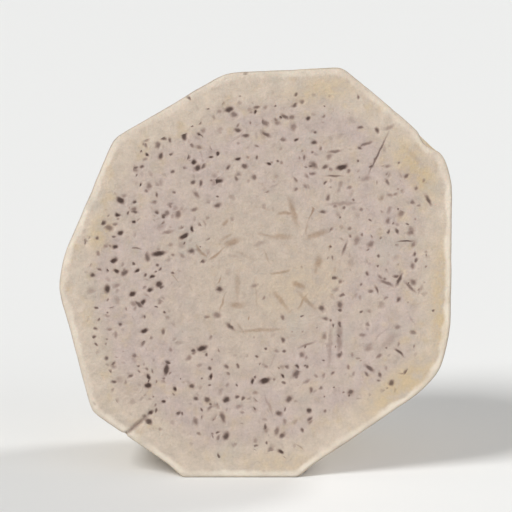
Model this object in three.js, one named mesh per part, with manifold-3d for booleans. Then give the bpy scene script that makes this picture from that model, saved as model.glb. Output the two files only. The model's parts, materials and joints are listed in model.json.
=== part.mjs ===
// One half of a small taro root, peeled by hand and cut across, standing on one of its peeled flats.
//
// The root is one solid piece of flesh, so it is one mesh. Its cut face is flat, and the outline of that face
// has a side for each stroke of the peeling knife. Behind the face each stroke runs back along the root, flat
// across its width and bowed along its length, and a few short cuts dress the rounded tip where they meet.
//
// Millimetres, +Z up. The cut face looks along -Y and a little up, and the tip points along +Y. The origin is on
// the surface that the half rests on, under the middle of its box.
//
// While it is shaped, the half lies in the root's own frame: the middle of the cut face is the origin, +Y runs
// along the root to the tip, and X and Z lie in the cut face.

import * as THREE from "three";
import { toCreasedNormals } from "three/addons/utils/BufferGeometryUtils.js";
import Module from "manifold-3d";

const cutOutline = [
  // corners of the cut face, clockwise from the upper left, as [across, up]
  [-3.8, 26.0],
  [11.1, 26.7],
  [18.9, 20.5],
  [24.4, 15.0],
  [25.4, 11.5],
  [25.2, -7.3],
  [23.7, -12.5],
  [20.9, -15.6],
  [5.3, -25.9],
  [-9.2, -25.9],
  [-21.1, -17.7],
  [-25.4, -1.8],
  [-24.9, 2.3],
  [-18.2, 17.6],
];
const tipCuts = [
  // [turn about the root from +X in degrees, slope towards the tip in degrees, reach]
  [58, 52, 29.3],
  [172, 58, 28.4],
  [318, 62, 28.3],
];
const restingSide = 8; // the side of the outline that the half stands on, counted from its first corner
const leanDegrees = 10; // how far the cut face leans back when the half stands
const rootDepth = 28.5; // from the cut face to where each stroke would end at the tip
const depthWander = 1.4; // how much that differs from stroke to stroke
const bow = 2.7; // 2 bows a stroke as an ellipse, more keeps it straighter near the cut face
const bowWander = 0.25;
const twistDegrees = 8; // how far the strokes turn about the root on their way to the tip
const restingReach = 33; // of the root at the resting side, before the resting flat is cut
const rimSharpness = 110; // how crisp the ridges between strokes are at the cut face
const tipSharpness = 45; // and how worn they are at the tip
const rimWear = 0.4; // width of the small slope all round the cut face
const outlineStep = 1.4; // longest step between two points of the outline
const ringCount = 24; // rings of points between the cut face and the tip
const snapDistance = 0.25; // points this close to the resting flat lie on it, so its edge has no slivers
const fleshColour = 0xd6c8b6;

const rootAxis = new THREE.Vector3(0, 1, 0);
const lean = THREE.MathUtils.degToRad(leanDegrees);
const frontEdge = new THREE.Vector3(0, 0, cutOutline[restingSide][1]);
const up = new THREE.Vector3(0, -Math.sin(lean), Math.cos(lean)); // away from the flat that the half stands on
const restingLevel = up.dot(frontEdge);

// The knife's strokes. Each has one direction square to the root's axis, its reach from the axis at the cut face,
// and the depth at which it ends.
const strokes = cutOutline.map((corner, i) => {
  const next = cutOutline[(i + 1) % cutOutline.length];
  const side = new THREE.Vector3(next[0] - corner[0], 0, next[1] - corner[1]);
  const outward = side.cross(rootAxis).normalize();
  const onSide = new THREE.Vector3(corner[0], 0, corner[1]);
  return {
    outward,
    reach: i === restingSide ? restingReach : outward.dot(onSide),
    depth: rootDepth + depthWander * Math.sin(2.4 * i + 0.6),
    bow: bow + bowWander * Math.sin(1.7 * i + 2.2),
  };
});

const tipFacets = tipCuts.map(([turn, slope, reach]) => {
  const [t, s] = [turn, slope].map(THREE.MathUtils.degToRad);
  const outward = new THREE.Vector3(
    Math.cos(t) * Math.cos(s),
    Math.sin(s),
    Math.sin(t) * Math.cos(s),
  );
  return { outward, reach };
});

// A direction turned about the root as far as the strokes have turned there.
function turnByTwist(direction, sign) {
  const turn = THREE.MathUtils.degToRad(twistDegrees) * direction.y;
  return direction.clone().applyAxisAngle(rootAxis, -sign * turn);
}

// How far the flesh reaches from the middle of the cut face in one direction. Each cut gives a share of the way
// out, and the largest shares decide. The sharpness sets how little the others round the ridge between two cuts.
function reachAlong(direction) {
  const towardsTip = THREE.MathUtils.smoothstep(direction.y, 0, 0.8);
  const sharpness = THREE.MathUtils.lerp(
    rimSharpness,
    tipSharpness,
    towardsTip,
  );
  const untwisted = turnByTwist(direction, -1);
  let sum = 0;
  for (const { outward, reach, depth, bow } of strokes) {
    const across = Math.max(0, outward.dot(untwisted)) / reach;
    const along = direction.y / depth;
    sum += (across ** bow + along ** bow) ** (sharpness / bow);
  }
  for (const { outward, reach } of tipFacets) {
    sum += (Math.max(0, outward.dot(direction)) / reach) ** sharpness;
  }
  return sum ** (-1 / sharpness);
}

// A point of the skin, set onto the plane of the resting flat where it is almost there.
function skinPoint(direction) {
  const reach = reachAlong(direction);
  const reachToFlat = restingLevel / up.dot(direction);
  const snapped = Math.abs(reach - reachToFlat) < snapDistance;
  return direction.clone().multiplyScalar(snapped ? reachToFlat : reach);
}

// Directions in the cut face towards the outline, in even steps along each side, with one at every corner.
function outlineDirections() {
  return cutOutline.flatMap((corner, i) => {
    const from = new THREE.Vector3(corner[0], 0, corner[1]);
    const next = cutOutline[(i + 1) % cutOutline.length];
    const to = new THREE.Vector3(next[0], 0, next[1]);
    const steps = Math.ceil(from.distanceTo(to) / outlineStep);
    return Array.from({ length: steps }, (_, k) =>
      from
        .clone()
        .lerp(to, k / steps)
        .normalize(),
    );
  });
}

// The closed skin of the root half before its resting flat is cut: the face, the rings of points on the peeled
// side from the face to the tip, and the tip. Rings nearer the tip are shorter, so they take fewer points.
function rootSkin() {
  const directions = outlineDirections();
  const count = directions.length;
  const points = [new THREE.Vector3(), skinPoint(rootAxis)];
  const triangles = [];
  const rings = [];

  const addRing = (elevation) => {
    const fewer = [8, 4, 2].find(
      (s) => count % s === 0 && Math.cos(elevation) * s < 1.2,
    );
    const skip = fewer ?? 1;
    rings.push({ first: points.length, skip });
    for (let k = 0; k < count; k += skip) {
      const raised = directions[k]
        .clone()
        .multiplyScalar(Math.cos(elevation))
        .setY(Math.sin(elevation));
      points.push(skinPoint(turnByTwist(raised, 1)));
    }
  };
  addRing(0);
  for (const point of points.slice(rings[0].first)) {
    point.setLength(point.length() - rimWear);
  }
  addRing(Math.asin(rimWear / frontEdge.length()));
  for (let ring = 1; ring <= ringCount; ring++) {
    addRing(((ring / (ringCount + 1)) * Math.PI) / 2);
  }

  const at = ({ first, skip }, k) => first + (k % count) / skip;
  rings.forEach((near, i) => {
    const far = rings[i + 1];
    const stride = far ? far.skip : near.skip;
    for (let k = 0; k < count; k += stride) {
      const end = k + stride;
      if (i === 0) {
        triangles.push([0, at(near, end), at(near, k)]);
      }
      if (!far) {
        triangles.push([at(near, k), at(near, end), 1]);
        continue;
      }
      const middle = k + near.skip;
      triangles.push([at(near, k), at(near, middle), at(far, k)]);
      triangles.push([at(near, middle), at(far, end), at(far, k)]);
      if (middle < end) {
        triangles.push([at(near, middle), at(near, end), at(far, end)]);
      }
    }
  });
  return { points, triangles };
}

// The half with the flat that it stands on, cut as a true plane, and the same small slope along its front edge.
async function restingHalf() {
  const wasm = await Module();
  wasm.setup();
  const { points, triangles } = rootSkin();
  const skin = new wasm.Manifold(
    new wasm.Mesh({
      numProp: 3,
      vertProperties: new Float32Array(points.flatMap((p) => p.toArray())),
      triVerts: new Uint32Array(triangles.flat()),
    }),
  );
  const inward = up.clone().add(rootAxis).normalize();
  const wearLevel = inward.dot(frontEdge) + rimWear * Math.SQRT1_2;
  const half = skin
    .trimByPlane(up.toArray(), restingLevel)
    .trimByPlane(inward.toArray(), wearLevel);
  const { vertProperties, triVerts } = half.getMesh();
  const geometry = new THREE.BufferGeometry();
  geometry.setAttribute(
    "position",
    new THREE.BufferAttribute(vertProperties, 3),
  );
  geometry.setIndex(new THREE.BufferAttribute(triVerts, 1));
  return geometry;
}

// The half stood on its flat, with the origin on the surface under the middle of its box.
async function taroHalf() {
  const geometry = await restingHalf();
  geometry.rotateX(-lean);
  geometry.computeBoundingBox();
  const { min, max } = geometry.boundingBox;
  const flesh = new THREE.MeshStandardMaterial({
    color: fleshColour,
    roughness: 0.62,
    metalness: 0,
  });
  const half = new THREE.Mesh(toCreasedNormals(geometry, 0.3), flesh);
  half.name = "taro_half";
  half.position.set(-(min.x + max.x) / 2, -(min.y + max.y) / 2, -min.z);
  return half;
}

const taroRoot = new THREE.Group();
taroRoot.add(await taroHalf());

export default taroRoot;
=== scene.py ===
"""Half of a small taro root, peeled with a knife and cut across, with a plain stage to see it on.

The half is made by the rule that a knife leaves: each stroke of the peeling is one flat-bowed cut, and the
flesh reaches as far as the nearest cut allows. Lengths in the settings are in metres. The tables of cuts and
marks are in millimetres, in the root's own frame: X and Z lie in the cut face with its middle as the origin,
and Y runs along the root to the tip.
"""

import json
import math

import bpy
import numpy as np
from bpy.props import FloatProperty, FloatVectorProperty, IntProperty, PointerProperty
from mathutils import Matrix, Vector


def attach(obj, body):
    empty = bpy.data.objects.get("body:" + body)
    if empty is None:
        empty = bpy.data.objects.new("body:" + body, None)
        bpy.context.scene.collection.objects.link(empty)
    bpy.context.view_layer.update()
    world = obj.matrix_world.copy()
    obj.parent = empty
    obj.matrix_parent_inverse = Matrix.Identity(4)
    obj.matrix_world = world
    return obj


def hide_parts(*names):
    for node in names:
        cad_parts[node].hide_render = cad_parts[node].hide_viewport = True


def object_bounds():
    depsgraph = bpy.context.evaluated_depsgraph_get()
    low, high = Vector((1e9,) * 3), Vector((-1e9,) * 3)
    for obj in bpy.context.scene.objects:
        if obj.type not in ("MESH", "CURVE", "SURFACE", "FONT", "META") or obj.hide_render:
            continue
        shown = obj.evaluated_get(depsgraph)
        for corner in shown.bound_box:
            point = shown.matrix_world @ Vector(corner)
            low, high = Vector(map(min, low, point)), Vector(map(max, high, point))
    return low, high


bl_info = {
    "name": "Taro Half",
    "version": (1, 0, 0),
    "blender": (4, 5, 0),
    "location": "View3D > Sidebar > Taro",
    "description": "Makes a peeled taro half and a plain stage for it",
    "category": "Add Mesh",
}

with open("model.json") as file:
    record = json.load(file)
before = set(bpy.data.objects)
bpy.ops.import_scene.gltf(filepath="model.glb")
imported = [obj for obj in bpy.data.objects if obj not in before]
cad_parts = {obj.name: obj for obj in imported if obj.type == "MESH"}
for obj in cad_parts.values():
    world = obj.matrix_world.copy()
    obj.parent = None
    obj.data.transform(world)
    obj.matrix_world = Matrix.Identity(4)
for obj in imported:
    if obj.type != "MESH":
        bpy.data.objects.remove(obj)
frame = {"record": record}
cad_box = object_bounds()

MM = 0.001

# Corners of the cut face, clockwise from the upper left, as [across, up].
CUT_OUTLINE = [
    (-3.8, 26.0),
    (11.1, 26.7),
    (18.9, 20.5),
    (24.4, 15.0),
    (25.4, 11.5),
    (25.2, -7.3),
    (23.7, -12.5),
    (20.9, -15.6),
    (5.3, -25.9),
    (-9.2, -25.9),
    (-21.1, -17.7),
    (-25.4, -1.8),
    (-24.9, 2.3),
    (-18.2, 17.6),
]
RESTING_SIDE = 8
RESTING_DROP = -CUT_OUTLINE[RESTING_SIDE][1]
# Short cuts at the tip: turn about the root in degrees, slope towards the tip in degrees, reach.
TIP_CUTS = [(58, 52, 29.3), (172, 58, 28.4), (318, 62, 28.3)]
# Shallow second cuts that skim the ridges between strokes, given in the same way.
SKIM_CUTS = [
    (112, 27, 27.7),
    (75, 26, 29.7),
    (30, 54, 28.8),
    (332, 36, 28.4),
    (3, 33, 27.8),
    (221, 40, 28.8),
    (144, 38, 27.3),
    (20, 80, 27.0),
    (255, 75, 27.6),
]
# Half the root's width, its length from the cut, and half its height before it was peeled.
ROOT_RADII = (26.4, 28.6, 26.6)

# The half stands with its cut face leaning back, in the plane of the frame's mount of that name.
FACE_MOUNT = next(mount for mount in frame["record"]["mounts"] if mount["name"] == "cut_face")
LEAN = math.asin(FACE_MOUNT["axis"][2])
# The middle of the cut face in the part's frame.
MIDDLE_ACROSS = -0.053
MIDDLE_UP = RESTING_DROP * math.cos(LEAN)
_, mount_back, mount_up = (value / MM for value in FACE_MOUNT["pos_m"])
FACE_MIDDLE = (MIDDLE_ACROSS, mount_back + (MIDDLE_UP - mount_up) * math.tan(LEAN), MIDDLE_UP)

# The larger cut fibres of the face: across, up, length, width, turn in degrees, darkness.
FACE_MARKS = [
    (-12.4, 2.7, 2, 0.76, 12, 1),
    (-9.1, 4.9, 1.4, 0.67, 35, 1),
    (-11.2, 5.4, 1.6, 0.5, 10, 0.6),
    (-7.8, 8.3, 1, 0.59, 20, 0.7),
    (-15.5, 8.3, 0.9, 0.67, 0, 0.7),
    (-11.3, 7.8, 0.9, 0.67, 60, 0.7),
    (-7.4, 13.6, 1, 0.84, 40, 0.9),
    (-1.4, 13.8, 0.9, 0.76, 0, 0.8),
    (1.3, 17.9, 1.3, 0.59, -30, 0.8),
    (-0.7, 21, 0.9, 0.59, 0, 0.5),
    (4.6, 20, 0.9, 0.67, 20, 0.7),
    (11, 13.7, 1.5, 0.76, 20, 1),
    (14, 16.6, 2.2, 0.42, 25, 0.7),
    (15.6, 15.3, 6, 0.3, 64, 0.75),
    (10.1, 15.7, 1.9, 0.42, 10, 0.7),
    (11, 9, 4.1, 0.55, 3, 0.52),
    (0.5, 3.9, 1.9, 0.6, 15, 0.42),
    (-2.9, 2.4, 2, 0.5, -15, 0.34),
    (-3.5, 0.3, 1.3, 0.8, 60, 0.38),
    (-4.9, -5.2, 1.1, 0.8, 0, 0.65),
    (12.9, 4.3, 1.2, 0.8, 70, 0.6),
    (12.2, 1.5, 1.5, 0.8, 80, 0.4),
    (22, 9.5, 1.6, 0.59, -60, 0.8),
    (19.8, 5.3, 1, 0.67, 30, 0.7),
    (-16.7, 0.2, 1.1, 0.76, 40, 0.8),
    (-12.3, -1.2, 1, 0.84, 0, 0.9),
    (-4.6, -1.9, 1, 0.84, 0, 0.85),
    (-14.9, -3.8, 1.3, 0.59, -30, 0.8),
    (-3.2, -6.7, 1.4, 0.59, -40, 0.8),
    (-6.8, -9.4, 1.3, 0.84, 15, 1),
    (-11.4, -12.1, 1.7, 0.67, 80, 0.9),
    (-13.7, -14.2, 0.9, 0.84, 0, 1),
    (-6.2, -16, 0.9, 0.76, 0, 0.8),
    (-3.7, -16, 1, 0.84, 20, 0.9),
    (1.2, -13.5, 1.5, 0.76, 20, 1),
    (4.3, -15.9, 1.1, 0.76, 30, 0.8),
    (2.7, -20, 1.2, 0.67, 75, 0.7),
    (5.9, -10.2, 0.9, 0.76, 30, 0.7),
    (12.1, -15, 0.9, 0.84, 0, 0.8),
    (17.3, -13.8, 0.9, 0.76, 45, 0.8),
    (14.5, -11.9, 1.5, 0.59, -35, 0.8),
    (9.5, -9, 5.2, 0.6, 87, 0.48),
    (10.7, -8.1, 4.8, 0.84, 89, 0.56),
    (16.7, -1.1, 2.2, 0.5, -22, 0.7),
    (18.3, -0.7, 1.9, 0.56, 62, 0.85),
    (19.7, -1.6, 2.1, 0.5, -48, 0.7),
    (21, -1.9, 1.6, 0.46, 66, 0.5),
    (17.1, -8.4, 3.4, 1, 44, 0.4),
    (17, 18.7, 1.5, 0.6, 20, 0.55),
    (20.2, 15, 4, 0.7, -46, 0.3),
]
# The clearest of the faint fibres of the core, given in the same way, with their strength last.
CORE_MARKS = [
    (4.8, 8.0, 3.3, 0.7, -73, 0.5),
    (3.2, 4.8, 2.6, 0.7, 0, 0.38),
    (7.8, 5.1, 2.8, 0.7, 20, 0.45),
    (-3.0, 4.1, 2.2, 0.8, 20, 0.5),
    (5.5, -1.4, 1.6, 0.7, -25, 0.5),
    (3.2, -3.3, 2.8, 0.55, -52, 0.42),
    (6.6, -3.4, 2.7, 0.5, -45, 0.42),
    (-2.4, -3.9, 1.8, 0.8, 0, 0.42),
    (-2.3, -1.6, 3.2, 0.6, 88, 0.3),
    (0.6, -7.1, 4.8, 0.42, 3, 0.42),
    (8.0, 1.6, 1.3, 0.85, 80, 0.5),
]
# Yellowed patches of the face: across, up, length, width, turn in degrees, strength.
YELLOW_PATCHES = [
    (24.0, -3.5, 15.0, 3.2, 88, 0.8),
    (18.6, -14.2, 11.0, 3.6, 38, 0.8),
    (20.4, 13.5, 8.0, 3.4, -55, 0.85),
    (8.5, 23.5, 8.0, 3.0, 10, 0.55),
    (-19.8, 5.4, 4.5, 2.6, 75, 0.7),
    (6.0, -1.5, 11.0, 6.0, 20, 0.3),
    (3.5, -24.0, 9.0, 2.4, 0, 0.4),
]
# Damage at the rim: a nick that runs in from the lower left, and a chip at the upper right, as across, up,
# length, width, turn in degrees, depth in the face.
RIM_DAMAGE = [(-15.3, -19.3, 4.2, 0.5, 40, 0.3), (22.5, 17.4, 2.8, 1.3, -47, 0.5)]

# Scatters over the face. The relief and the colours share these values and those of the side.
DOTS = {"Cell": 1.9, "Width": 0.56, "Slenderness": 1.9, "Warp": 0.5, "Waver": 1.1, "Seed": 3.0}
SMALL_DOTS = {"Cell": 1.2, "Width": 0.38, "Slenderness": 2.2, "Warp": 0.35, "Waver": 1.3, "Seed": 11.0}
DASHES = {"Cell": 4.2, "Width": 0.26, "Slenderness": 12.0, "Warp": 0.9, "Waver": 0.5, "Seed": 7.0}
CORE_FIBRES = {"Cell": 2.9, "Width": 0.3, "Slenderness": 9.0, "Warp": 2.6, "Waver": 0.3, "Seed": 23.0}
# Scatters over the peeled side.
SIDE_DOTS = {"Cell": 1.25, "Width": 0.66, "Slenderness": 1.7, "Seed": 9.0}
SIDE_LINES = {"Cell": 1.7, "Width": 0.46, "Slenderness": 5.0, "Seed": 15.0}
# Hollows of the side, and the grain and amount of the waver that takes away their roundness.
GOUGES = {"Cell": 7.0, "Width": 0.9, "Slenderness": 4.5, "Presence": 0.35, "Seed": 31.0}
EYES = {"Cell": 8.5, "Width": 1.3, "Slenderness": 1.3, "Presence": 0.3, "Seed": 4.0}
HOLLOW_WAVER = (0.7, 1.2)

# Width of the rounded edge of the resting flat, and how far above the flat the relief reaches its full depth.
FLAT_ROUNDING = 0.3 * MM
FLAT_MARGIN = 1.5 * MM
# Depth of a cut that has no end, in metres.
NO_END = 1e6

# Lamps of the stage: name, the direction that each shines from, and how wide it looks in degrees.
LAMPS = [
    ("key", (-0.6, -0.42, 0.76), 24),
    ("fill", (0.7, -0.6, 0.4), 60),
    ("back", (0.75, 0.5, 0.5), 14),
]
# Half the width of the floor, in metres.
FLOOR_REACH = 6.0


# Settings


def number(name, default, description, **options):
    return FloatProperty(name=name, default=default, description=description, **options)


def length(name, default, description):
    return number(name, default, description, unit="LENGTH", precision=5)


def angle(name, default, description):
    return number(name, default, description, subtype="ANGLE")


def colour(name, red, green, blue, description):
    """A colour setting, given in the 0 to 255 of a screen and kept linear."""
    screen = np.array([red, green, blue]) / 255
    linear = np.where(screen > 0.04045, ((screen + 0.055) / 1.055) ** 2.4, screen / 12.92)
    return FloatVectorProperty(
        name=name,
        default=tuple(float(v) for v in linear),
        description=description,
        subtype="COLOR",
        size=3,
        min=0,
        max=1,
    )


class TaroShape(bpy.types.PropertyGroup):
    """Sizes of the half and of the relief on it."""

    root_depth: length("Root depth", 28.5 * MM, "From the cut face to where a stroke ends at the tip")
    depth_wander: length("Depth wander", 1.4 * MM, "How much that differs from stroke to stroke")
    bow: number("Bow", 2.7, "2 bows a stroke as an ellipse, more keeps it straighter near the face")
    bow_wander: number("Bow wander", 0.25, "How much that differs from stroke to stroke")
    twist: angle("Twist", math.radians(8), "How far the strokes turn about the root on their way to the tip")
    resting_reach: length("Resting reach", 33 * MM, "Reach of the root before the resting flat is cut")
    rim_sharpness: number("Rim sharpness", 110, "How crisp the ridges are at the cut face", min=8)
    tip_sharpness: number("Tip sharpness", 45, "How crisp the ridges are at the tip", min=8)
    rim_wear: length("Rim wear", 0.4 * MM, "Width of the worn edge round the cut face")
    seed: number("Seed", 2, "Gives other waves of the same kind")
    cells: IntProperty(name="Cells", default=190, description="Mesh cells across a side", min=16)
    undulation: length("Undulation", 0.36 * MM, "Depth of the waves that the knife leaves")
    scratches: length("Scratches", 0.07 * MM, "Depth of the fine lines along each stroke")
    face_waves: length("Face waves", 0.1 * MM, "Depth of the unevenness of the cut face")
    pits: length("Pits", 0.6 * MM, "Depth of the eyes that the knife went round")
    gouges: length("Gouges", 0.28 * MM, "Depth of the short cuts that the knife's point left")
    fibre_pits: length("Fibre pits", 0.09 * MM, "Depth to which cut fibres have shrunk")


class TaroColours(bpy.types.PropertyGroup):
    """Colours of the flesh."""

    core: colour("Core", 202, 185, 169, "Flesh in the middle of the cut face")
    ring: colour("Ring", 199, 181, 172, "Flesh with fibres, round the core")
    rim: colour("Rim", 211, 195, 178, "Flesh just under the skin")
    # The edge colour is partly the paler flesh at the rim and partly a painted highlight of the worn edge
    # catching light.
    edge: colour("Edge", 242, 230, 213, "Thin bright line at the edge of the cut face")
    ochre: colour("Ochre", 204, 181, 143, "Yellowed flesh")
    cool: colour("Cool", 191, 183, 170, "Watery spots of the cut face")
    strand: colour("Strand", 184, 152, 116, "Tint of the faint fibres of the core")
    # The fibre colour also darkens the gouges of the side as painted shade.
    fibre: colour("Fibre", 144, 117, 107, "Faint cut fibres, and the flesh round the dark ones")
    fibre_dark: colour("Dark fibre", 66, 46, 38, "The darkest cut fibres")
    side: colour("Side", 203, 186, 164, "Peeled side")
    # The pale side colour is also painted along the ridges of the side and round the worn rim as a highlight.
    side_pale: colour("Pale side", 219, 205, 187, "Palest flesh of the peeled side")
    side_deep: colour("Deep side", 195, 178, 168, "Peeled side where a stroke went down to the fibres")
    side_ochre: colour("Ochre side", 206, 180, 136, "Yellowed flesh of the peeled side")
    eye: colour("Eye", 62, 42, 30, "Eyes of the root")


class TaroStage(bpy.types.PropertyGroup):
    """Floor, light and camera."""

    floor: colour("Floor", 236, 236, 234, "Floor")
    sky: colour("Sky", 236, 238, 241, "Light from all round")
    sky_strength: number("Sky strength", 0.28, "Strength of the light from all round")
    key: number("Key light", 2.2, "Strength of the main light, from the upper left", min=0)
    fill: number("Fill light", 0.6, "Strength of the second light, from the right", min=0)
    back: number("Back light", 1.4, "Strength of the light from behind", min=0)
    lens: number("Lens", 150, "Focal length", unit="CAMERA")
    share: number("Share", 0.76, "Share of the picture's height that the half fills", min=0.1, max=1)
    elevation: angle("Elevation", LEAN, "Height of the view, so that it meets the cut face squarely")


# Node trees


class Nodes:
    """A node tree, with a short call for each kind of node used here."""

    VALUE_RESULTS = {"DOT_PRODUCT", "LENGTH", "DISTANCE"}

    def __init__(self, tree):
        self.tree = tree

    def add(self, kind, inputs=None, **settings):
        """Adds a node. An input is given as a value or as the output socket that feeds it."""
        made = self.tree.nodes.new(kind)
        for name, value in settings.items():
            setattr(made, name, value)
        for key, value in (inputs or {}).items():
            self.feed(made.inputs[key], value)
        return made

    def feed(self, socket, value):
        if isinstance(value, bpy.types.NodeSocket):
            self.tree.links.new(value, socket)
        else:
            socket.default_value = value

    def group(self, build, inputs):
        """Adds a group, which build makes for this kind of tree. Its outputs are returned."""
        in_shape = self.tree.bl_idname == "GeometryNodeTree"
        kind = "GeometryNodeGroup" if in_shape else "ShaderNodeGroup"
        return self.add(kind, inputs, node_tree=build(self.tree.bl_idname)).outputs

    def math(self, operation, *values):
        return self.add("ShaderNodeMath", dict(enumerate(values)), operation=operation).outputs[0]

    def times(self, first, second):
        return self.math("MULTIPLY", first, second)

    def vector(self, operation, *values):
        made = self.add("ShaderNodeVectorMath", operation=operation)
        sockets = (made.inputs[0], made.inputs["Scale"]) if operation == "SCALE" else made.inputs
        for socket, value in zip(sockets, values):
            self.feed(socket, value)
        return made.outputs["Value" if operation in self.VALUE_RESULTS else "Vector"]

    def split(self, vector):
        """The three parts of a vector."""
        return self.add("ShaderNodeSeparateXYZ", {0: vector}).outputs[:3]

    def join(self, x, y, z):
        return self.add("ShaderNodeCombineXYZ", {0: x, 1: y, 2: z}).outputs[0]

    def turn(self, vector, radians, axis):
        """The vector turned about X, Y or Z."""
        inputs = {"Vector": vector, "Angle": radians}
        return self.add("ShaderNodeVectorRotate", inputs, rotation_type=axis + "_AXIS").outputs[0]

    def ramp(self, value, low, high, start=0.0, end=1.0):
        """A smooth step of the value from start, at low, to end, at high."""
        inputs = {0: value, 1: low, 2: high, 3: start, 4: end}
        made = self.add("ShaderNodeMapRange", inputs, interpolation_type="SMOOTHSTEP")
        return made.outputs[0]

    def mix(self, factor, first, second):
        made = self.add("ShaderNodeMix", {0: factor, 2: first, 3: second}, data_type="FLOAT")
        return made.outputs[0]

    def blend(self, factor, first, second, kind="MIX"):
        """A mix of two colours, each given by its socket or as a colour setting."""
        inputs = {0: factor}
        for key, value in ((6, first), (7, second)):
            inputs[key] = value if isinstance(value, bpy.types.NodeSocket) else (*value, 1)
        made = self.add("ShaderNodeMix", inputs, data_type="RGBA", blend_type=kind)
        return made.outputs[2]

    def noise(self, place, scale, detail=2.0, roughness=0.5):
        """Noise about 0.5, with a grain of about 1 / scale."""
        inputs = {"Vector": place, "Scale": scale, "Detail": detail, "Roughness": roughness}
        return self.add("ShaderNodeTexNoise", inputs).outputs[0]

    def uneven(self, value, amount, place, **grain):
        """The value, made uneven by noise about zero."""
        centred = self.math("SUBTRACT", self.noise(place, **grain), 0.5)
        return self.math("MULTIPLY_ADD", centred, amount, value)

    def wavered(self, place, scale, amount):
        """The place, moved about by noise so that round things lose their roundness."""
        inputs = {"Vector": place, "Scale": scale, "Detail": 1.0}
        moved = self.add("ShaderNodeTexNoise", inputs).outputs["Color"]
        moved = self.vector("SUBTRACT", moved, (0.5, 0.5, 0.5))
        return self.vector("ADD", place, self.vector("SCALE", moved, amount))


def shared_group(name, tree_type, inputs, outputs, fill):
    """A node group, made when it is first asked for. From the group's inputs fill makes its outputs."""
    name += " of the shape" if tree_type == "GeometryNodeTree" else " of the colours"
    tree = bpy.data.node_groups.get(name)
    if tree:
        return tree
    tree = bpy.data.node_groups.new(name, tree_type)
    for label, default in inputs.items():
        kind = "NodeSocketVector" if isinstance(default, tuple) else "NodeSocketFloat"
        tree.interface.new_socket(label, in_out="INPUT", socket_type=kind).default_value = default
    for label in outputs:
        tree.interface.new_socket(label, in_out="OUTPUT", socket_type="NodeSocketFloat")
    nodes = Nodes(tree)
    made = fill(nodes, nodes.add("NodeGroupInput").outputs)
    results = nodes.add("NodeGroupOutput").inputs
    for label, socket in zip(outputs, made):
        nodes.feed(results[label], socket)
    return tree


# Inputs that every scatter has, and their values where none is given.
SCATTER_INPUTS = {
    "Place": (0, 0, 0),
    "Cell": 2.0,
    "Width": 0.7,
    "Slenderness": 2.0,
    "Presence": 0.5,
    "Seed": 0.0,
}


def cell_results(nodes, given, chance, distance, radius, softness):
    """The mask of what stands in a cell, if anything does, and its tone."""
    inner = nodes.times(radius, 0.3)
    outer = nodes.times(radius, softness)
    shape = nodes.ramp(distance, inner, outer, 1.0, 0.0)
    present = nodes.math("LESS_THAN", chance, given["Presence"])
    tone = nodes.math("FRACT", nodes.times(chance, 17.3))
    return nodes.times(shape, present), tone


def face_fibres(tree_type):
    """Cut fibres, scattered one to a cell over a flat: dots that stretch to dashes."""
    inputs = {**SCATTER_INPUTS, "Warp": 0.2, "Waver": 1.1}

    def fill(nodes, given):
        moved = nodes.wavered(given["Place"], given["Waver"], given["Warp"])
        seeded = nodes.vector("ADD", moved, nodes.join(given["Seed"], given["Seed"], 0.0))
        in_cells = nodes.vector("DIVIDE", seeded, nodes.join(given["Cell"], given["Cell"], 1.0))
        cells = nodes.add(
            "ShaderNodeTexVoronoi",
            {"Vector": in_cells, "Scale": 1.0, "Randomness": 1.0},
            voronoi_dimensions="2D",
            feature="F1",
        ).outputs
        away = nodes.vector("SUBTRACT", in_cells, cells["Position"])
        away = nodes.vector("SCALE", away, given["Cell"])
        chance, second, third = nodes.split(cells["Color"])
        turn = nodes.math("MULTIPLY_ADD", second, 43.7, nodes.times(third, 19.1))
        along, across, _ = nodes.split(nodes.turn(away, turn, "Z"))
        longer = nodes.math("SUBTRACT", given["Slenderness"], 1.0)
        stretch = nodes.math("MULTIPLY_ADD", longer, second, 1.0)
        squeezed = nodes.join(nodes.math("DIVIDE", along, stretch), across, 0.0)
        distance = nodes.vector("LENGTH", squeezed)
        radius = nodes.times(given["Width"], nodes.math("MULTIPLY_ADD", third, 0.36, 0.3))
        return cell_results(nodes, given, chance, distance, radius, softness=1.9)

    return shared_group("Cut fibres", tree_type, inputs, ("Fibre", "Tone"), fill)


def side_fibres(tree_type):
    """Spindles along the root, scattered one to a cell through the solid and seen where it was peeled."""

    def fill(nodes, given):
        squash = nodes.join(1.0, nodes.math("DIVIDE", 1.0, given["Slenderness"]), 1.0)
        squashed = nodes.vector("MULTIPLY", given["Place"], squash)
        seeded = nodes.vector("ADD", squashed, nodes.join(given["Seed"], given["Seed"], 0.0))
        in_cells = nodes.vector("SCALE", seeded, nodes.math("DIVIDE", 1.0, given["Cell"]))
        cells = nodes.add(
            "ShaderNodeTexVoronoi",
            {"Vector": in_cells, "Scale": 1.0, "Randomness": 0.92},
            voronoi_dimensions="3D",
            feature="F1",
        ).outputs
        distance = nodes.times(cells["Distance"], given["Cell"])
        chance, _, third = nodes.split(cells["Color"])
        radius = nodes.times(given["Width"], nodes.math("MULTIPLY_ADD", third, 0.4, 0.35))
        return cell_results(nodes, given, chance, distance, radius, softness=1.8)

    return shared_group("Side fibres", tree_type, SCATTER_INPUTS, ("Fibre", "Tone"), fill)


def face_mark(tree_type):
    """One mark on the cut face: an ellipse of given place, length, width and turn, with a soft edge."""
    inputs = {"Place": (0, 0, 0), "Middle": (0, 0, 0), "Length": 1.0, "Width": 1.0, "Turn": 0.0}

    def fill(nodes, given):
        away = nodes.vector("SUBTRACT", given["Place"], given["Middle"])
        turned = nodes.turn(away, nodes.times(given["Turn"], -1.0), "Z")
        size = nodes.join(given["Length"], given["Width"], 1e6)
        distance = nodes.vector("LENGTH", nodes.vector("DIVIDE", turned, size))
        return (nodes.ramp(distance, 0.15, 0.85, 1.0, 0.0),)

    return shared_group("Face mark", tree_type, inputs, ("Mark",), fill)


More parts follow.
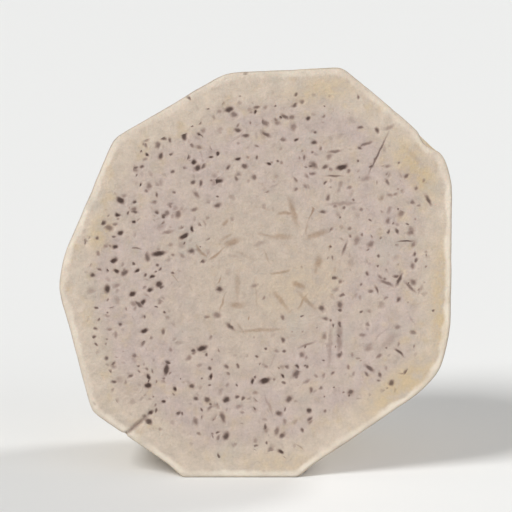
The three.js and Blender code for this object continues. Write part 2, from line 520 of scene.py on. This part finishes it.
def knife_stroke(tree_type):
    """How far out a direction is, measured against one stroke of the knife: 1 is on the stroke.

    Reach and depth are shares of the root's radius, which keeps the powers within bounds.
    """
    inputs = {
        "Towards": (0, 0, 0),
        "Outward": (1, 0, 0),
        "Reach": 1.0,
        "Depth": 1.1,
        "Bow": 2.7,
        "Sharpness": 100.0,
    }

    def fill(nodes, given):
        facing = nodes.vector("DOT_PRODUCT", given["Towards"], given["Outward"])
        facing = nodes.math("MAXIMUM", facing, 0.0)
        across = nodes.math("POWER", nodes.math("DIVIDE", facing, given["Reach"]), given["Bow"])
        rise = nodes.math("MAXIMUM", nodes.split(given["Towards"])[1], 0.0)
        along = nodes.math("POWER", nodes.math("DIVIDE", rise, given["Depth"]), given["Bow"])
        power = nodes.math("DIVIDE", given["Sharpness"], given["Bow"])
        return (nodes.math("POWER", nodes.math("ADD", across, along), power),)

    return shared_group("Knife stroke", tree_type, inputs, ("Share",), fill)


def mark_at(nodes, flat_place, values):
    """The mask of one mark of the tables."""
    across, up, long, wide, turn = values[:5]
    inputs = {
        "Place": flat_place,
        "Middle": (across, up, 0),
        "Length": long,
        "Width": wide,
        "Turn": math.radians(turn),
    }
    return nodes.group(face_mark, inputs)["Mark"]


def with_marks(nodes, mask, flat_place, marks):
    """The mask with the marks of a table in it, each as strong as its last value says."""
    for values in marks:
        mark = nodes.times(mark_at(nodes, flat_place, values), values[5])
        mask = nodes.math("MAXIMUM", mask, mark)
    return mask


def toned(nodes, scatter, faintest, darkest):
    """The mask of a scatter, with each thing in it between the faintest and the darkest."""
    tone = nodes.ramp(scatter["Tone"], 0.0, 1.0, faintest, darkest)
    return nodes.times(scatter["Fibre"], tone)


def ring_zone(nodes, share, flat_place):
    """1 in the ring of fibres between the core of the face and its rim."""
    wavy = nodes.uneven(share, 0.22, flat_place, scale=0.13)
    inside = nodes.ramp(wavy, 0.28, 0.47)
    return nodes.times(inside, nodes.ramp(wavy, 0.86, 0.92, 1.0, 0.0))


def fibre_zone(nodes, share, flat_place):
    """How likely a cell of the cut face is to hold a fibre: they stand in a ring, thicker in some places."""
    ring = ring_zone(nodes, share, flat_place)
    clumps = nodes.ramp(nodes.noise(flat_place, scale=0.19, detail=1.0), 0.36, 0.62, 0.36, 1.0)
    right = nodes.ramp(nodes.split(flat_place)[0], -6.0, 14.0, 1.0, 0.55)
    return nodes.times(nodes.times(ring, clumps), right)


# The half's mesh


def disc_grid(cells):
    """A square grid of points bent onto a disc without a pole: its points as (across, up), 1 at the edge."""
    line = np.linspace(-1, 1, cells + 1)
    a, b = np.meshgrid(line, line, indexing="ij")
    wide = np.abs(a) > np.abs(b)
    radius = np.where(wide, a, b)
    safe_a = np.where(a == 0, 1, a)
    safe_b = np.where(b == 0, 1, b)
    turn = np.where(wide, np.pi / 4 * b / safe_a, np.pi / 2 - np.pi / 4 * a / safe_b)
    return radius * np.cos(turn), radius * np.sin(turn)


def grid_edge(cells):
    """The numbers of the grid's points along its edge, once round."""
    steps = range(cells)
    edge = [(i, 0) for i in steps] + [(cells, j) for j in steps]
    edge += [(cells - i, cells) for i in steps] + [(0, cells - j) for j in steps]
    return np.array([i * (cells + 1) + j for i, j in edge])


def direction_mesh(cells, rim_wear, rim_steps=4):
    """The half before it is shaped: each point has only its direction from the middle of the cut face.

    It is a grid for the face and one for the peeled side, joined by rings round the rim. Attributes say how
    the rule places a point: towards, the direction; share, how far out of the reach it is; inset and lift, in
    units of the rim's wear, how it bends round the rim; peeled, 0 on the face and 1 behind it.
    """
    across, up = disc_grid(cells)
    radius = np.hypot(across, up).ravel()
    safe = np.where(radius == 0, 1, radius)
    flat = np.stack([across.ravel() / safe, np.zeros_like(radius), up.ravel() / safe], -1)
    flat[radius == 0] = (1, 0, 0)
    start = math.asin(rim_wear / (RESTING_DROP * MM))
    climb = start + (1 - radius) * (math.pi / 2 - start)
    dome = flat * np.cos(climb)[:, None] + np.outer(np.sin(climb), (0, 1, 0))

    count = len(radius)
    edge = grid_edge(cells)
    nought, one = np.zeros(count), np.ones(count)
    rows = [(flat, radius, radius, nought, nought), (dome, one, nought, nought, one)]
    for step in range(1, rim_steps):
        bend = step / rim_steps * math.pi / 2
        values = (1, 1 - math.sin(bend), 1 - math.cos(bend), step / rim_steps)
        rows.append((flat[edge], *(np.full(len(edge), value) for value in values)))
    towards, share, inset, lift, peeled = (np.concatenate(column) for column in zip(*rows))

    size = cells + 1
    corner = np.array([i * size + j for i in range(cells) for j in range(cells)])
    squares = np.stack([corner, corner + size, corner + size + 1, corner + 1], -1)
    faces = [squares, squares[:, ::-1] + count]
    between = [2 * count + k * len(edge) + np.arange(len(edge)) for k in range(rim_steps - 1)]
    rings = [edge, *between, edge + count]
    for near, far in zip(rings, rings[1:]):
        faces.append(np.stack([np.roll(near, -1), near, far, np.roll(far, -1)], -1))

    mesh = bpy.data.meshes.new("taro_half")
    mesh.from_pydata(towards.tolist(), [], np.concatenate(faces).tolist())
    data = mesh.attributes.new("towards", "FLOAT_VECTOR", "POINT").data
    data.foreach_set("vector", towards.ravel().astype(np.float32))
    for name, values in (("share", share), ("inset", inset), ("lift", lift), ("peeled", peeled)):
        data = mesh.attributes.new(name, "FLOAT", "POINT").data
        data.foreach_set("value", values.astype(np.float32))
    return mesh


def stroke_values(shape):
    """The knife's strokes and the short cuts, as outward direction, reach, depth, bow, and if it twists."""
    values = []
    corners = [Vector((x, 0, z)) * MM for x, z in CUT_OUTLINE]
    for i, corner in enumerate(corners):
        side = corners[(i + 1) % len(corners)] - corner
        outward = side.cross(Vector((0, 1, 0))).normalized()
        reach = shape.resting_reach if i == RESTING_SIDE else outward.dot(corner)
        depth = shape.root_depth + shape.depth_wander * math.sin(2.4 * i + 0.6)
        bow = shape.bow + shape.bow_wander * math.sin(1.7 * i + 2.2)
        values.append((outward, reach, depth, bow, True))
    for turn, slope, reach in TIP_CUTS + SKIM_CUTS:
        turn, slope = math.radians(turn), math.radians(slope)
        flat = Vector((math.cos(turn), 0, math.sin(turn))) * math.cos(slope)
        outward = flat + Vector((0, math.sin(slope), 0))
        values.append((outward, reach * MM, NO_END, 1.0, False))
    return values


def attribute(nodes, name, kind="FLOAT"):
    made = nodes.add("GeometryNodeInputNamedAttribute", {"Name": name}, data_type=kind)
    return made.outputs["Attribute"]


def root_reach(nodes, given, shape):
    """The rule: how far the flesh reaches along each point's direction, and if that is on a ridge."""
    towards = attribute(nodes, "towards", "FLOAT_VECTOR")
    rise = nodes.split(towards)[1]
    worn = nodes.ramp(rise, 0.0, 0.8)
    sharpness = nodes.mix(worn, given["Rim Sharpness"], given["Tip Sharpness"])
    untwisted = nodes.turn(towards, nodes.times(given["Twist"], rise), "Y")
    radius = RESTING_DROP * MM
    total = 0.0
    largest = 0.0
    for outward, reach, depth, bow, twists in stroke_values(shape):
        inputs = {
            "Towards": untwisted if twists else towards,
            "Outward": outward,
            "Reach": reach / radius,
            "Depth": depth / radius,
            "Bow": bow,
            "Sharpness": sharpness,
        }
        share = nodes.group(knife_stroke, inputs)["Share"]
        total = nodes.math("ADD", total, share)
        largest = nodes.math("MAXIMUM", largest, share)
    reach = nodes.math("POWER", total, nodes.math("DIVIDE", -1.0, sharpness))
    reach = nodes.times(reach, radius)

    down = Vector((0, math.sin(LEAN), -math.cos(LEAN)))
    facing = nodes.math("MAXIMUM", nodes.vector("DOT_PRODUCT", towards, down), 1e-4)
    to_flat = nodes.math("DIVIDE", MIDDLE_UP * MM, facing)
    ridge = nodes.ramp(nodes.math("DIVIDE", total, largest), 1.03, 1.7)
    return nodes.math("SMOOTH_MIN", reach, to_flat, FLAT_ROUNDING), ridge


def off_the_flat(nodes, place):
    """0 on the resting flat and 1 a little above it, so that relief leaves the flat alone."""
    up = Vector((0, -math.sin(LEAN), math.cos(LEAN)))
    height = nodes.math("ADD", nodes.vector("DOT_PRODUCT", place, up), MIDDLE_UP * MM)
    return nodes.ramp(height, 0.0, FLAT_MARGIN)


def side_relief(nodes, given, place):
    """Depth of what the knife left in the peeled side: waves, drag lines, short cuts and eyes."""
    x, y, z = nodes.split(place)
    seeded = nodes.vector("ADD", place, nodes.vector("SCALE", (71.0, 37.0, 53.0), given["Seed"]))
    waves = nodes.times(nodes.noise(seeded, scale=0.11), given["Undulation"])
    chatter = nodes.times(nodes.noise(seeded, scale=0.42), given["Undulation"])
    waves = nodes.math("MULTIPLY_ADD", chatter, 0.25, waves)
    turn = nodes.times(nodes.math("ARCTAN2", z, x), 24.0)
    drawn_out = nodes.join(turn, nodes.times(y, 0.1), nodes.times(y, 0.02))
    lines = nodes.noise(drawn_out, scale=0.9, detail=3.0)
    depth = nodes.math("MULTIPLY_ADD", lines, given["Scratches"], waves)
    near_face = nodes.ramp(y, 0.3, 2.5, 0.6 * MM, 0.0)
    for values in RIM_DAMAGE:
        mark = mark_at(nodes, nodes.join(x, z, 0.0), values)
        depth = nodes.math("MULTIPLY_ADD", mark, near_face, depth)
    wavy_place = nodes.wavered(place, *HOLLOW_WAVER)
    for values, deep in ((EYES, given["Pits"]), (GOUGES, given["Gouges"])):
        hollows = nodes.group(side_fibres, {"Place": wavy_place, **values})["Fibre"]
        depth = nodes.math("MULTIPLY_ADD", hollows, deep, depth)
    return depth


def face_relief(nodes, given, place):
    """Depth of what lies below the plane of the cut face: waves, shrunk fibres, and damage at the rim."""
    x, _, z = nodes.split(place)
    flat_place = nodes.join(x, z, 0.0)
    waves = nodes.noise(place, scale=0.16, detail=3.0)
    depth = nodes.times(waves, given["Face Waves"])
    zone = fibre_zone(nodes, attribute(nodes, "share"), flat_place)
    dots = nodes.group(face_fibres, {"Place": flat_place, **DOTS, "Presence": zone})["Fibre"]
    depth = nodes.math("MULTIPLY_ADD", dots, given["Fibre Pits"], depth)
    for values in RIM_DAMAGE:
        mark = mark_at(nodes, flat_place, values)
        depth = nodes.math("MULTIPLY_ADD", mark, values[5] * MM, depth)
    return depth


# Inputs of the half's tree, such as "Rim Wear", and the settings that fill them.
SIZE_INPUTS = {
    setting.replace("_", " ").title(): setting
    for setting in (
        "seed",
        "twist",
        "rim_sharpness",
        "tip_sharpness",
        "rim_wear",
        "undulation",
        "scratches",
        "face_waves",
        "pits",
        "gouges",
        "fibre_pits",
    )
}


def skin_shaped(nodes, given, geometry, shape):
    """Every point set out along its direction, as far as the rule and the side's relief let it."""
    towards = attribute(nodes, "towards", "FLOAT_VECTOR")
    reach, ridge = root_reach(nodes, given, shape)
    skin = nodes.vector("SCALE", towards, reach)
    relief = side_relief(nodes, given, nodes.vector("SCALE", skin, 1 / MM))
    relief = nodes.times(relief, off_the_flat(nodes, skin))
    reach = nodes.math("SUBTRACT", reach, relief)
    reach = nodes.times(reach, attribute(nodes, "share"))
    inset = nodes.times(attribute(nodes, "inset"), given["Rim Wear"])
    lift = nodes.times(attribute(nodes, "lift"), given["Rim Wear"])
    out = nodes.vector("SCALE", towards, nodes.math("SUBTRACT", reach, inset))
    place = nodes.vector("ADD", out, nodes.join(0.0, lift, 0.0))
    # The ridge mask is kept for the painted highlight along the ridges.
    inputs = {"Geometry": geometry, "Name": "ridge", "Value": ridge}
    geometry = nodes.add("GeometryNodeStoreNamedAttribute", inputs).outputs[0]
    return nodes.add("GeometryNodeSetPosition", {"Geometry": geometry, "Position": place}).outputs[0]


def face_shaped(nodes, given, geometry):
    """The points of the cut face set back by its relief."""
    place = nodes.add("GeometryNodeInputPosition").outputs[0]
    relief = face_relief(nodes, given, nodes.vector("SCALE", place, 1 / MM))
    on_face = nodes.math("SUBTRACT", 1.0, attribute(nodes, "peeled"))
    back = nodes.times(nodes.times(relief, on_face), off_the_flat(nodes, place))
    inputs = {"Geometry": geometry, "Offset": nodes.join(0.0, back, 0.0)}
    return nodes.add("GeometryNodeSetPosition", inputs).outputs[0]


def stood_up(nodes, geometry):
    """The half turned onto its resting flat, in the part's frame, with nothing below the surface."""
    inputs = {"Geometry": geometry, "Translation": Vector(FACE_MIDDLE) * MM, "Rotation": (-LEAN, 0, 0)}
    geometry = nodes.add("GeometryNodeTransform", inputs).outputs[0]
    place = nodes.add("GeometryNodeInputPosition").outputs[0]
    place = nodes.vector("MAXIMUM", place, (-1.0, -1.0, 0.0))
    return nodes.add("GeometryNodeSetPosition", {"Geometry": geometry, "Position": place}).outputs[0]


def half_tree(shape):
    """The tree that makes the half from its directions."""
    tree = bpy.data.node_groups.new("Taro half from knife strokes", "GeometryNodeTree")
    kinds = {"Geometry": "Geometry", **dict.fromkeys(SIZE_INPUTS, "Float"), "Material": "Material"}
    for label, kind in kinds.items():
        tree.interface.new_socket(label, in_out="INPUT", socket_type="NodeSocket" + kind)
    tree.interface.new_socket("Geometry", in_out="OUTPUT", socket_type="NodeSocketGeometry")
    nodes = Nodes(tree)
    given = nodes.add("NodeGroupInput").outputs
    geometry = skin_shaped(nodes, given, given["Geometry"], shape)
    geometry = face_shaped(nodes, given, geometry)
    geometry = nodes.add("GeometryNodeSetShadeSmooth", {"Geometry": geometry}).outputs[0]
    geometry = stood_up(nodes, geometry)
    geometry = nodes.add("GeometryNodeRealizeInstances", {"Geometry": geometry}).outputs[0]
    inputs = {"Geometry": geometry, "Material": given["Material"]}
    geometry = nodes.add("GeometryNodeSetMaterial", inputs).outputs[0]
    nodes.feed(nodes.add("NodeGroupOutput").inputs["Geometry"], geometry)
    return tree


def baked(source, name):
    """The evaluated mesh of an object as a plain object of its own. The source is deleted."""
    evaluated = source.evaluated_get(bpy.context.evaluated_depsgraph_get())
    mesh = bpy.data.meshes.new_from_object(evaluated)
    old = source.data
    bpy.data.objects.remove(source)
    bpy.data.meshes.remove(old)
    mesh.name = name
    made = bpy.data.objects.new(name, mesh)
    bpy.context.collection.objects.link(made)
    return made


# Material


def stored(nodes, name):
    """A value that the half's tree left on the mesh."""
    return nodes.add("ShaderNodeAttribute", attribute_name=name).outputs["Fac"]


def dappled(nodes, result, mottle, place, contrast):
    """The colour made lighter and darker by a mottle of the given contrast and by a fine grain."""
    fine = 0.3
    grain = nodes.noise(place, scale=3.2, detail=3.0, roughness=0.7)
    light = nodes.math("MULTIPLY_ADD", grain, fine, 1 - (contrast + fine) / 2)
    light = nodes.math("MULTIPLY_ADD", mottle, contrast, light)
    return nodes.blend(1.0, result, nodes.join(light, light, light), "MULTIPLY")


def face_flesh(nodes, colours, flat_place, wavy_place, share):
    """Flesh of the cut face without its dark fibres: core, ring, rim and bright edge, yellowed in places. The
    bright edge is partly paler flesh and partly a painted highlight.
    """
    wavy = nodes.uneven(share, 0.14, flat_place, scale=0.2)
    ring = nodes.times(nodes.ramp(wavy, 0.2, 0.6), nodes.ramp(wavy, 0.78, 0.92, 1.0, 0.0))
    clouds = nodes.ramp(nodes.noise(flat_place, scale=0.24, detail=3.0), 0.35, 0.65, 0.3, 1.0)
    result = nodes.blend(nodes.times(ring, clouds), colours.core, colours.ring)
    result = nodes.blend(nodes.ramp(wavy, 0.8, 0.94), result, colours.rim)

    mottle = nodes.noise(flat_place, scale=0.6, detail=5.0, roughness=0.65)
    yellow = nodes.ramp(nodes.noise(flat_place, scale=0.45, detail=4.0, roughness=0.6), 0.5, 0.75)
    yellow = nodes.times(yellow, nodes.ramp(wavy, 0.5, 0.88, 0.25, 0.5))
    patches = with_marks(nodes, 0.0, flat_place, YELLOW_PATCHES)
    patches = nodes.times(patches, nodes.ramp(mottle, 0.3, 0.6))
    yellow = nodes.math("MAXIMUM", yellow, patches)
    result = nodes.blend(yellow, result, colours.ochre)
    result = dappled(nodes, result, mottle, flat_place, contrast=0.6)

    # The bright line at the edge of the face: partly paler flesh, partly a painted highlight of the worn
    # edge.
    edge = nodes.ramp(nodes.uneven(share, 0.05, flat_place, scale=0.4, detail=3.0), 0.97, 0.992)
    broken = nodes.ramp(nodes.noise(flat_place, scale=0.22), 0.36, 0.62, 0.4, 0.85)
    # Painted highlight shaded by where the light falls: it is weaker towards the top, where the key light
    # already brightens the edge.
    highlight_fainter_above = nodes.ramp(nodes.split(flat_place)[1], 8.0, 20.0, 1.0, 0.6)
    edge = nodes.times(edge, nodes.times(broken, highlight_fainter_above))
    result = nodes.blend(edge, result, colours.edge)

    elsewhere = nodes.vector("ADD", flat_place, (70, 30, 0))
    cool = nodes.ramp(nodes.noise(elsewhere, scale=0.19), 0.58, 0.72, 0.0, 0.3)
    result = nodes.blend(cool, result, colours.cool)
    core = nodes.ramp(share, 0.32, 0.5, 0.8, 0.0)
    strands = nodes.group(face_fibres, {"Place": flat_place, **CORE_FIBRES, "Presence": core})
    mask = with_marks(nodes, toned(nodes, strands, 0.14, 0.62), wavy_place, CORE_MARKS)
    return nodes.blend(mask, result, colours.strand, "MULTIPLY")


def face_fibre_mask(nodes, flat_place, wavy_place, share):
    """Where the cut face has dark fibres: two sizes of dots, dashes to the right, and the table's marks."""
    across = nodes.split(flat_place)[0]
    zone = fibre_zone(nodes, share, flat_place)
    right = nodes.ramp(across, -8.0, 14.0, 0.08, 0.5)
    right = nodes.times(ring_zone(nodes, share, flat_place), right)
    crowd = nodes.math("MULTIPLY_ADD", right, 0.35, 0.05)
    crowd = nodes.math("MULTIPLY_ADD", zone, 0.75, crowd)
    small = nodes.group(face_fibres, {"Place": flat_place, **SMALL_DOTS, "Presence": crowd})
    dots = nodes.group(face_fibres, {"Place": flat_place, **DOTS, "Presence": zone})
    dashes = nodes.group(face_fibres, {"Place": flat_place, **DASHES, "Presence": right})
    fainter = nodes.ramp(across, 2.0, 16.0, 1.0, 0.72)
    dots = nodes.times(toned(nodes, dots, 0.42, 0.97), fainter)
    mask = nodes.math("MAXIMUM", dots, toned(nodes, dashes, 0.35, 0.9))
    mask = nodes.math("MAXIMUM", toned(nodes, small, 0.25, 0.8), mask)
    return with_marks(nodes, mask, wavy_place, FACE_MARKS)


def face_colours(nodes, colours, flat_place, share):
    """Colour of the cut face, and the mask of its fibres."""
    wavy_place = nodes.wavered(flat_place, 1.4, 0.4)
    result = face_flesh(nodes, colours, flat_place, wavy_place, share)
    mask = face_fibre_mask(nodes, flat_place, wavy_place, share)
    result = nodes.blend(nodes.ramp(mask, 0.05, 0.7, 0.0, 0.6), result, colours.fibre)
    result = nodes.blend(nodes.ramp(mask, 0.45, 1.0, 0.0, 0.95), result, colours.fibre_dark)
    for values in RIM_DAMAGE:
        mark = nodes.times(mark_at(nodes, wavy_place, values), 0.6)
        result = nodes.blend(mark, result, colours.fibre)
    return result, mask


def side_flesh(nodes, colours, place, outness, deep):
    """Flesh of the peeled side without its dark fibres.

    A shallow stroke leaves pale and yellowed flesh. The ridges between strokes get a painted highlight in the
    pale colour.
    """
    broad = nodes.ramp(nodes.noise(place, scale=0.09, detail=3.0), 0.35, 0.65)
    result = nodes.blend(broad, colours.side, colours.side_pale)
    result = nodes.blend(nodes.times(deep, 0.75), result, colours.side_deep)
    drawn = nodes.vector("MULTIPLY", place, (1.0, 0.4, 1.0))
    shallow = nodes.uneven(outness, 0.34, drawn, scale=0.2, detail=5.0, roughness=0.72)
    yellow = nodes.ramp(shallow, 1.0, 1.05)
    margin = nodes.ramp(shallow, 0.985, 1.0)
    margin = nodes.times(margin, nodes.ramp(shallow, 1.005, 1.025, 1.0, 0.0))
    result = nodes.blend(nodes.times(yellow, 0.55), result, colours.side_ochre)
    result = nodes.blend(nodes.times(margin, 0.12), result, colours.strand, "MULTIPLY")
    # Painted highlight: the ridges between strokes are tinted pale, as if they caught the light.
    broken = nodes.ramp(nodes.noise(place, scale=0.3), 0.4, 0.6, 0.15, 0.8)
    ridge = nodes.times(stored(nodes, "ridge"), broken)
    result = nodes.blend(ridge, result, colours.side_pale)
    mottle = nodes.noise(drawn, scale=0.9, detail=5.0, roughness=0.65)
    return dappled(nodes, result, mottle, place, contrast=0.56)


def side_colours(nodes, colours, place):
    """Colour of the peeled side, and the mask of its fibres, which show where a stroke went deep."""
    outness = nodes.vector("LENGTH", nodes.vector("DIVIDE", place, ROOT_RADII))
    reached = nodes.uneven(outness, 0.26, place, scale=0.12, detail=3.0, roughness=0.55)
    deep = nodes.ramp(reached, 0.91, 0.995, 1.0, 0.0)
    result = side_flesh(nodes, colours, place, outness, deep)

    unround = nodes.wavered(place, 1.2, 0.5)
    often = nodes.math("MULTIPLY_ADD", deep, 0.7, 0.1)
    seldom = nodes.math("MULTIPLY_ADD", deep, 0.4, 0.14)
    dots = nodes.group(side_fibres, {"Place": unround, **SIDE_DOTS, "Presence": often})
    lines = nodes.group(side_fibres, {"Place": unround, **SIDE_LINES, "Presence": seldom})
    mask = nodes.math("MAXIMUM", toned(nodes, dots, 0.2, 0.9), toned(nodes, lines, 0.2, 0.9))
    result = nodes.blend(nodes.ramp(mask, 0.05, 0.7, 0.0, 0.55), result, colours.fibre)
    result = nodes.blend(nodes.ramp(mask, 0.45, 0.95, 0.0, 0.8), result, colours.fibre_dark)

    wavy_place = nodes.wavered(place, *HOLLOW_WAVER)
    # The gouges are darkened with the fibre colour as painted shade in their hollows; the eyes get a yellowed
    # ring and their own dark colour.
    for values, widening, strength, tint in (
        (GOUGES, 1.0, 0.35, colours.fibre),
        (EYES, 2.2, 0.5, colours.side_ochre),
        (EYES, 1.0, 0.95, colours.eye),
    ):
        inputs = {"Place": wavy_place, **values, "Width": values["Width"] * widening}
        hollow = nodes.times(nodes.group(side_fibres, inputs)["Fibre"], strength)
        result = nodes.blend(hollow, result, tint)
    return result, mask


def flesh_height(nodes, place, is_side, fibre):
    """Height of the finest relief: grain, shrunk fibres, and on the side the drag of the knife."""
    grain = nodes.times(nodes.noise(place, scale=2.6, detail=4.0, roughness=0.65), 0.9)
    grain = nodes.math("MULTIPLY_ADD", nodes.noise(place, scale=0.9), 1.2, grain)
    lines = nodes.noise(nodes.vector("MULTIPLY", place, (1.0, 0.12, 1.0)), scale=1.3, detail=3.0)
    chatter = nodes.noise(nodes.vector("MULTIPLY", place, (0.5, 1.0, 0.5)), scale=0.55)
    drag = nodes.math("MULTIPLY_ADD", chatter, 3.0, nodes.times(lines, 2.0))
    grain = nodes.math("MULTIPLY_ADD", drag, is_side, grain)
    return nodes.math("MULTIPLY_ADD", fibre, -0.35, grain)


def flesh_material(colours):
    """Taro flesh: the cut face with its core, ring of fibres and rim, and the peeled side behind it."""
    material = bpy.data.materials.new("taro_flesh")
    material.use_nodes = True
    nodes = Nodes(material.node_tree)
    shader = material.node_tree.nodes["Principled BSDF"]

    in_root = Matrix.Rotation(LEAN, 3, "X") @ Vector(FACE_MIDDLE)
    inputs = {
        "Vector": nodes.add("ShaderNodeTexCoord").outputs["Object"],
        "Location": -in_root,
        "Rotation": (LEAN, 0, 0),
        "Scale": (1 / MM,) * 3,
    }
    place = nodes.add("ShaderNodeMapping", inputs).outputs[0]
    x, _, z = nodes.split(place)
    peeled = stored(nodes, "peeled")
    is_side = nodes.ramp(peeled, 0.35, 0.9)
    face, face_fibre = face_colours(nodes, colours, nodes.join(x, z, 0.0), stored(nodes, "share"))
    side, side_fibre = side_colours(nodes, colours, place)
    result = nodes.blend(is_side, face, side)
    # The rings round the worn rim are tinted with the pale side colour: partly paler flesh, partly a painted
    # highlight along the edge.
    edge = nodes.ramp(peeled, 0.6, 1.0, 0.45, 0.0)
    edge = nodes.times(nodes.ramp(peeled, 0.0, 0.3), edge)
    nodes.feed(shader.inputs["Base Color"], nodes.blend(edge, result, colours.side_pale))

    fibre = nodes.mix(is_side, face_fibre, side_fibre)
    damp = nodes.ramp(nodes.noise(place, scale=0.5), 0.35, 0.7, 0.46, 0.62)
    nodes.feed(shader.inputs["Roughness"], nodes.math("MULTIPLY_ADD", fibre, 0.12, damp))
    height = flesh_height(nodes, place, is_side, fibre)
    bump = nodes.add("ShaderNodeBump", {"Strength": 0.9, "Distance": 0.14 * MM, "Height": height})
    nodes.feed(shader.inputs["Normal"], bump.outputs[0])
    shader.inputs["Specular IOR Level"].default_value = 0.4
    shader.inputs["Subsurface Weight"].default_value = 0.12
    shader.inputs["Subsurface Radius"].default_value = (1.0, 0.55, 0.35)
    shader.inputs["Subsurface Scale"].default_value = 2.2 * MM
    return material


# Operators


class MakeTaroHalf(bpy.types.Operator):
    """Makes the peeled half, shaped by its knife strokes, in place of the plain solid"""

    bl_idname = "taro.make_half"
    bl_label = "Make Taro Half"

    def execute(self, context):
        shape = context.scene.taro_shape
        source = bpy.data.objects.new("taro_directions", direction_mesh(shape.cells, shape.rim_wear))
        context.collection.objects.link(source)
        tree = half_tree(shape)
        modifier = source.modifiers.new("Knife strokes", "NODES")
        modifier.node_group = tree
        items = [item for item in tree.interface.items_tree if item.in_out == "INPUT"]
        sockets = {item.name: item.identifier for item in items}
        for label, name in SIZE_INPUTS.items():
            modifier[sockets[label]] = getattr(shape, name)
        modifier[sockets["Material"]] = flesh_material(context.scene.taro_colours)
        half = baked(source, "peeled_taro_half")
        for name in ("towards", "inset", "lift"):
            half.data.attributes.remove(half.data.attributes[name])
        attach(half, "root")
        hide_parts("taro_half")
        return {"FINISHED"}


class MakeTaroStage(bpy.types.Operator):
    """Makes the floor, the soft light and the camera"""

    bl_idname = "taro.make_stage"
    bl_label = "Make Stage"

    def execute(self, context):
        stage = context.scene.taro_stage
        self.make_floor(context, stage)
        self.make_light(context, stage)
        self.make_camera(context, stage)
        context.scene.view_settings.view_transform = "Standard"
        return {"FINISHED"}

    def make_floor(self, context, stage):
        mesh = bpy.data.meshes.new("floor")
        ways = ((-1, -1), (1, -1), (1, 1), (-1, 1))
        mesh.from_pydata([(x * FLOOR_REACH, y * FLOOR_REACH, 0) for x, y in ways], [], [(0, 1, 2, 3)])
        floor = bpy.data.objects.new("floor", mesh)
        context.collection.objects.link(floor)
        material = bpy.data.materials.new("floor")
        material.use_nodes = True
        shader = material.node_tree.nodes["Principled BSDF"]
        shader.inputs["Base Color"].default_value = (*stage.floor, 1)
        shader.inputs["Roughness"].default_value = 0.9
        mesh.materials.append(material)

    def make_light(self, context, stage):
        world = bpy.data.worlds.new("soft light")
        world.use_nodes = True
        sky = world.node_tree.nodes["Background"]
        sky.inputs["Color"].default_value = (*stage.sky, 1)
        sky.inputs["Strength"].default_value = stage.sky_strength
        context.scene.world = world
        for name, towards, spread in LAMPS:
            light = bpy.data.lights.new(name, "SUN")
            light.energy = getattr(stage, name)
            light.angle = math.radians(spread)
            lamp = bpy.data.objects.new(name, light)
            lamp.rotation_euler = Vector(towards).to_track_quat("Z", "Y").to_euler()
            context.collection.objects.link(lamp)

    def make_camera(self, context, stage):
        low, high = cad_box
        height = high[2] - low[2]
        camera = bpy.data.cameras.new("camera")
        camera.lens = stage.lens
        camera.clip_start = 0.01
        away = height / stage.share / (camera.sensor_width / camera.lens)
        target = Vector((0, 0, height / 2))
        towards = Vector((0, -math.cos(stage.elevation), math.sin(stage.elevation)))
        holder = bpy.data.objects.new("camera", camera)
        holder.location = target + towards * away
        holder.rotation_euler = (-towards).to_track_quat("-Z", "Y").to_euler()
        context.collection.objects.link(holder)
        context.scene.camera = holder


class TaroPanel(bpy.types.Panel):
    """Settings and buttons in the sidebar"""

    bl_idname = "VIEW3D_PT_taro"
    bl_label = "Taro Half"
    bl_space_type = "VIEW_3D"
    bl_region_type = "UI"
    bl_category = "Taro"

    def draw(self, context):
        for settings, operator in (
            (context.scene.taro_shape, None),
            (context.scene.taro_colours, MakeTaroHalf),
            (context.scene.taro_stage, MakeTaroStage),
        ):
            column = self.layout.column()
            for name in settings.__annotations__:
                column.prop(settings, name)
            if operator:
                column.operator(operator.bl_idname)


SETTINGS = {"taro_shape": TaroShape, "taro_colours": TaroColours, "taro_stage": TaroStage}
CLASSES = (*SETTINGS.values(), MakeTaroHalf, MakeTaroStage, TaroPanel)


def register():
    for made in CLASSES:
        bpy.utils.register_class(made)
    for name, kind in SETTINGS.items():
        setattr(bpy.types.Scene, name, PointerProperty(type=kind))


def unregister():
    for name in SETTINGS:
        delattr(bpy.types.Scene, name)
    for made in reversed(CLASSES):
        bpy.utils.unregister_class(made)


def main():
    register()
    bpy.ops.taro.make_half()
    bpy.ops.taro.make_stage()


if __name__ == "__main__":
    main()
